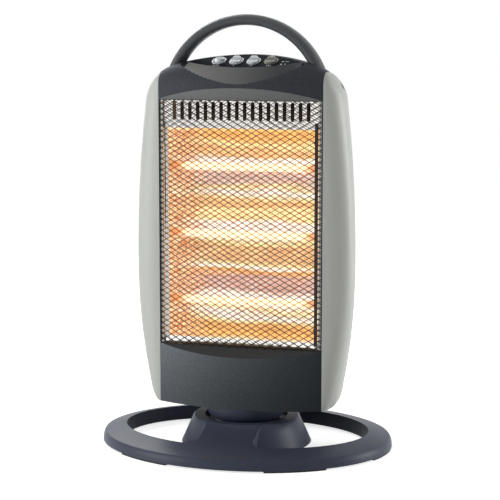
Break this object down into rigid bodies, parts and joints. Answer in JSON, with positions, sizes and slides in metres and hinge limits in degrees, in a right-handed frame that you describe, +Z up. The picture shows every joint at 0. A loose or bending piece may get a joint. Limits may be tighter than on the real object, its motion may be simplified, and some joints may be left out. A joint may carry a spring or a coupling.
{
  "type": "halogen heater",
  "caption": "Barrel-shaped halogen heater with horizontal quartz lamps in a polished cavity behind a diamond guard, rocker switches, an arched handle and an oval stand it swivels on.",
  "frame": {"origin": "on the swivel axis at floor level, in the middle of the stand's footprint", "axes": "+Z up; -Y is the front, where the guard and lamps face; +X to the right for someone facing the guard"},
  "size_m": [0.362, 0.288, 0.5235],
  "materials": {
    "silver_plastic": "satin metallic silver moulding",
    "slate_plastic": "satin dark slate moulding",
    "stand_plastic": "glossy blue-grey moulding",
    "rear_paint": "satin dark grey paint",
    "guard_paint": "matt black paint",
    "zinc_steel": "zinc-plated",
    "polished_aluminium": "mirror-polished",
    "quartz": "clear quartz, lit from inside",
    "lamp_coil": "glowing filament",
    "lamp_ceramic": "unglazed",
    "black_plastic": "matt",
    "nylon": "natural nylon",
    "motor_steel": "satin",
    "brass": "turned",
    "pad_rubber": "matt",
    "switch_silver": "metallised silver",
    "switch_dark": "dark olive grey",
    "plunger_red": "moulded red"
  },
  "bodies": {
    "base": {"base_shell": "stand_plastic", "base_plate": "zinc_steel", "base_screws": "zinc_steel", "foot_pads": "pad_rubber", "pivot_post": "zinc_steel", "post_screws": "zinc_steel", "thrust_washer": "nylon", "top_washer": "nylon", "swing_arm": "zinc_steel", "arm_nut": "zinc_steel", "tip_switch": "black_plastic", "tip_spring": "zinc_steel"},
    "head": {"turntable": "stand_plastic", "floor_tray": "zinc_steel", "table_screws": "zinc_steel", "bottom_cover": "slate_plastic", "side_panel_left": "silver_plastic", "side_panel_right": "silver_plastic", "panel_screws": "zinc_steel", "side_frame_left": "zinc_steel", "side_frame_right": "zinc_steel", "top_cover": "slate_plastic", "handle": "slate_plastic", "handle_screws": "zinc_steel", "rear_cover": "rear_paint", "rear_screws": "zinc_steel", "guard": "guard_paint", "guard_rods": "zinc_steel", "reflector": "polished_aluminium", "reflector_end_left": "polished_aluminium", "reflector_end_right": "polished_aluminium", "heat_shield": "zinc_steel", "lamp_tubes": "quartz", "lamp_coils": "lamp_coil", "lamp_caps": "lamp_ceramic", "lamp_clips": "zinc_steel", "thermal_cutout": "black_plastic", "terminal_block": "nylon", "cord_gland": "black_plastic", "motor_bracket": "zinc_steel", "swing_motor": "motor_steel", "motor_screws": "zinc_steel", "switch_bezels": "switch_silver", "switch_bodies": "black_plastic"},
    "tip_plunger": {"tip_plunger": "plunger_red"},
    "crank": {"crank": "brass"},
    "rocker_1": {"rocker_1": "switch_silver"},
    "rocker_2": {"rocker_2": "switch_silver"},
    "rocker_3": {"rocker_3": "switch_silver"},
    "rocker_4": {"rocker_4": "switch_dark"}
  },
  "joints": [
    {"name": "head_swivel", "type": "hinge", "parent": "base", "child": "head", "pos_m": [0, 0, 0], "axis": [0, 0, 1], "range_deg": [-35, 35]},
    {"name": "crank_turn", "type": "hinge", "parent": "head", "child": "crank", "pos_m": [0.036, 0, 0], "axis": [0, 0, 1], "range_deg": [-109, 109]},
    {"name": "tip_plunger_slide", "type": "slide", "parent": "base", "child": "tip_plunger", "axis": [0, 0, -1], "range_m": [0, 0.004], "stiffness_N_per_m": 40, "springref_m": 0.01, "deforming": ["tip_spring"]},
    {"name": "rocker_1_tilt", "type": "hinge", "parent": "head", "child": "rocker_1", "pos_m": [-0.0305, -0.01065, 0.46485], "axis": [1, 0, 0], "range_deg": [0, 24]},
    {"name": "rocker_2_tilt", "type": "hinge", "parent": "head", "child": "rocker_2", "pos_m": [-0.0089, -0.01065, 0.46485], "axis": [1, 0, 0], "range_deg": [-24, 0]},
    {"name": "rocker_3_tilt", "type": "hinge", "parent": "head", "child": "rocker_3", "pos_m": [0.0127, -0.01065, 0.46485], "axis": [1, 0, 0], "range_deg": [-24, 0]},
    {"name": "rocker_4_tilt", "type": "hinge", "parent": "head", "child": "rocker_4", "pos_m": [0.0343, -0.01065, 0.46485], "axis": [1, 0, 0], "range_deg": [-24, 0]}
  ],
  "couplings": [
    {"joint": "crank_turn", "follows": "head_swivel", "ratio": -3.1}
  ]
}
